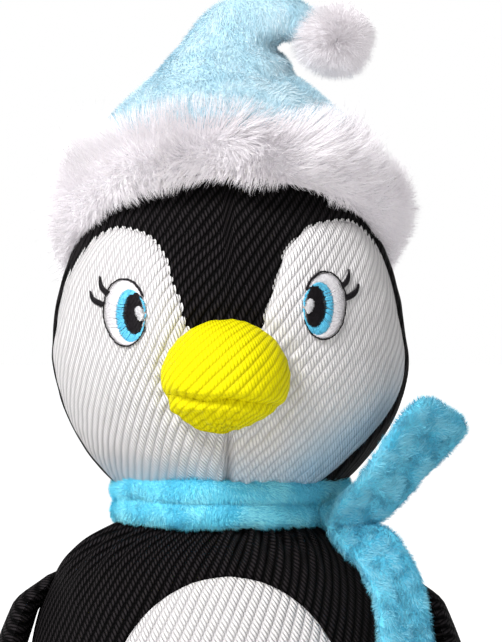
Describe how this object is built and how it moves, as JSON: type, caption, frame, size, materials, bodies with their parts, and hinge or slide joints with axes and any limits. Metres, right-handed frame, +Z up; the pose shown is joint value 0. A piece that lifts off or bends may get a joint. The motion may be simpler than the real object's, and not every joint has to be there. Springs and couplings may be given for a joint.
{
  "type": "plush penguin toy",
  "caption": "Plush penguin with a round embroidered face, yellow beak and feet, a fur-brimmed winter hat with a pompom, and a blue scarf with loose ends.",
  "frame": {"origin": "middle of the flat base panel's underside, on the floor", "axes": "+Z up through the head, -Y out of the beak, +X to the penguin's own left"},
  "size_m": [0.1556, 0.1527, 0.2589],
  "materials": {
    "white_twill": "matte white corded polyester twill",
    "black_twill": "matte black corded polyester twill",
    "yellow_twill": "bright yellow corded polyester twill",
    "blue_minky": "sky-blue short-pile minky plush",
    "hat_minky": "pale-blue short-pile minky plush",
    "white_fur": "white long-pile faux fur",
    "stuffing": "white polyester fibre fill",
    "black_thread": "black satin-stitch embroidery thread",
    "blue_thread": "blue satin-stitch embroidery thread",
    "white_thread": "white satin-stitch embroidery thread",
    "squeaker_vinyl": "soft translucent white vinyl",
    "label_satin": "plain white satin ribbon"
  },
  "bodies": {
    "body": {"belly_panel": "white_twill", "body_front_panel": "black_twill", "body_back_panel_left": "black_twill", "body_back_panel_right": "black_twill", "base_panel": "black_twill", "body_stuffing": "stuffing", "stuffing_plug": "stuffing", "squeaker_bulb": "squeaker_vinyl", "squeaker_reed": "squeaker_vinyl", "scarf_band": "blue_minky", "scarf_knot": "blue_minky", "care_label": "label_satin"},
    "neck": {"neck_stuffing": "stuffing"},
    "head": {"face_panel_left": "white_twill", "face_panel_right": "white_twill", "forehead_panel": "black_twill", "head_back_panel_left": "black_twill", "head_back_panel_right": "black_twill", "beak_upper_panel": "yellow_twill", "beak_lower_panel": "yellow_twill", "head_stuffing": "stuffing", "beak_stuffing": "stuffing", "eye_left_outline": "black_thread", "eye_left_white": "white_thread", "eye_left_iris": "blue_thread", "eye_left_pupil": "black_thread", "eye_left_highlight": "white_thread", "eye_left_lash_upper": "black_thread", "eye_left_lash_lower": "black_thread", "eye_right_outline": "black_thread", "eye_right_white": "white_thread", "eye_right_iris": "blue_thread", "eye_right_pupil": "black_thread", "eye_right_highlight": "white_thread", "eye_right_lash_upper": "black_thread", "eye_right_lash_lower": "black_thread", "hat_brim_fur": "white_fur", "hat_cone": "hat_minky", "hat_stuffing": "stuffing"},
    "hat_tip": {"hat_tip": "hat_minky", "pompom_fur": "white_fur"},
    "flipper_left": {"flipper_left_outer": "black_twill", "flipper_left_inner": "black_twill", "flipper_left_stuffing": "stuffing"},
    "flipper_right": {"flipper_right_outer": "black_twill", "flipper_right_inner": "black_twill", "flipper_right_stuffing": "stuffing"},
    "foot_left": {"foot_left_sole": "yellow_twill", "foot_left_upper": "yellow_twill", "foot_left_stuffing": "stuffing"},
    "foot_right": {"foot_right_sole": "yellow_twill", "foot_right_upper": "yellow_twill", "foot_right_stuffing": "stuffing"},
    "tail": {"tail_upper": "black_twill", "tail_lower": "black_twill", "tail_stuffing": "stuffing"},
    "scarf_end_upper": {"scarf_end_upper": "blue_minky"},
    "scarf_end_lower": {"scarf_end_lower": "blue_minky"}
  },
  "joints": [
    {"name": "neck_turn", "type": "hinge", "parent": "body", "child": "neck", "pos_m": [0, 0, 0.107], "axis": [0, 0, 1], "range_deg": [-20, 20], "stiffness_Nm_per_rad": 0.1},
    {"name": "neck_nod", "type": "hinge", "parent": "neck", "child": "head", "pos_m": [0, 0, 0.107], "axis": [1, 0, 0], "range_deg": [-4, 4], "stiffness_Nm_per_rad": 0.4},
    {"name": "hat_tip_flop", "type": "hinge", "parent": "head", "child": "hat_tip", "pos_m": [0, 0.003, 0.24], "axis": [0, 1, 0], "range_deg": [-45, 0]},
    {"name": "flipper_left_raise", "type": "hinge", "parent": "body", "child": "flipper_left", "pos_m": [0.0562, 0, 0.088], "axis": [0, -1, 0], "range_deg": [0, 70]},
    {"name": "flipper_right_raise", "type": "hinge", "parent": "body", "child": "flipper_right", "pos_m": [-0.0562, 0, 0.088], "axis": [0, 1, 0], "range_deg": [0, 70]},
    {"name": "foot_left_lift", "type": "hinge", "parent": "body", "child": "foot_left", "pos_m": [0.022, -0.044, 0.006], "axis": [-1, 0, 0], "range_deg": [0, 25]},
    {"name": "foot_right_lift", "type": "hinge", "parent": "body", "child": "foot_right", "pos_m": [-0.022, -0.044, 0.006], "axis": [-1, 0, 0], "range_deg": [0, 25]},
    {"name": "tail_lift", "type": "hinge", "parent": "body", "child": "tail", "pos_m": [0, 0.05, 0.022], "axis": [1, 0, 0], "range_deg": [0, 30]},
    {"name": "scarf_end_upper_fall", "type": "hinge", "parent": "body", "child": "scarf_end_upper", "pos_m": [0.0405, -0.026, 0.112], "axis": [0, 1, 0], "range_deg": [0, 50]},
    {"name": "scarf_end_lower_swing", "type": "hinge", "parent": "body", "child": "scarf_end_lower", "pos_m": [0.0385, -0.031, 0.1], "axis": [-0.6222, -0.7828, 0], "range_deg": [0, 35]}
  ]
}
